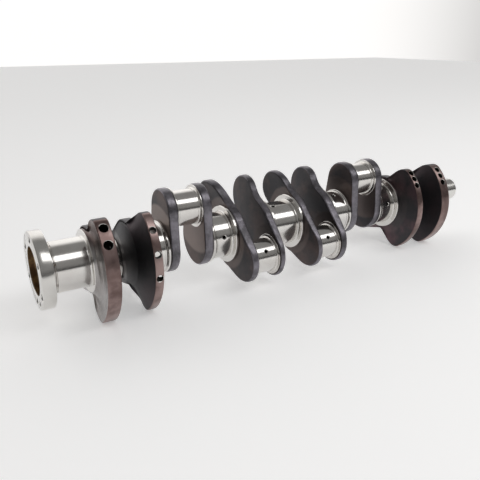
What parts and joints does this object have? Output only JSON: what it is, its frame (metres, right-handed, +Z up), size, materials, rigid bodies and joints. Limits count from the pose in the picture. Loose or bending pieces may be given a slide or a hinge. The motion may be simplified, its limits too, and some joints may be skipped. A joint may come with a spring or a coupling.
{
  "type": "crankshaft",
  "caption": "Inline-six crankshaft with seven main journals, throws at 120 degrees, drilled counterweight rims, a bolted rear flange and a stepped nose.",
  "frame": {"origin": "under the middle of the shaft's bounding box, on the plane its lowest counterweight rims stand on", "axes": "+X along the crankshaft's axis from the rear flange to the front nose, +Z up, -Y the side the end counterweights lean to"},
  "size_m": [0.795, 0.1728, 0.1611],
  "materials": {
    "ground_steel": "ground and polished bearing steel",
    "forged_steel": "dark heat-treated forging with machined edges",
    "turned_steel": "fine-turned steel",
    "bearing_bronze": "sintered bearing bronze"
  },
  "bodies": {
    "root": {"rear_flange": "turned_steel", "pilot_bush": "bearing_bronze", "front_nose": "turned_steel", "main_journal_1": "ground_steel", "main_journal_2": "ground_steel", "main_journal_3": "ground_steel", "main_journal_4": "ground_steel", "main_journal_5": "ground_steel", "main_journal_6": "ground_steel", "main_journal_7": "ground_steel", "crankpin_1": "ground_steel", "crankpin_2": "ground_steel", "crankpin_3": "ground_steel", "crankpin_4": "ground_steel", "crankpin_5": "ground_steel", "crankpin_6": "ground_steel", "web_1": "forged_steel", "web_2": "forged_steel", "web_3": "forged_steel", "web_4": "forged_steel", "web_5": "forged_steel", "web_6": "forged_steel", "web_7": "forged_steel", "web_8": "forged_steel", "web_9": "forged_steel", "web_10": "forged_steel", "web_11": "forged_steel", "web_12": "forged_steel"}
  },
  "joints": []
}
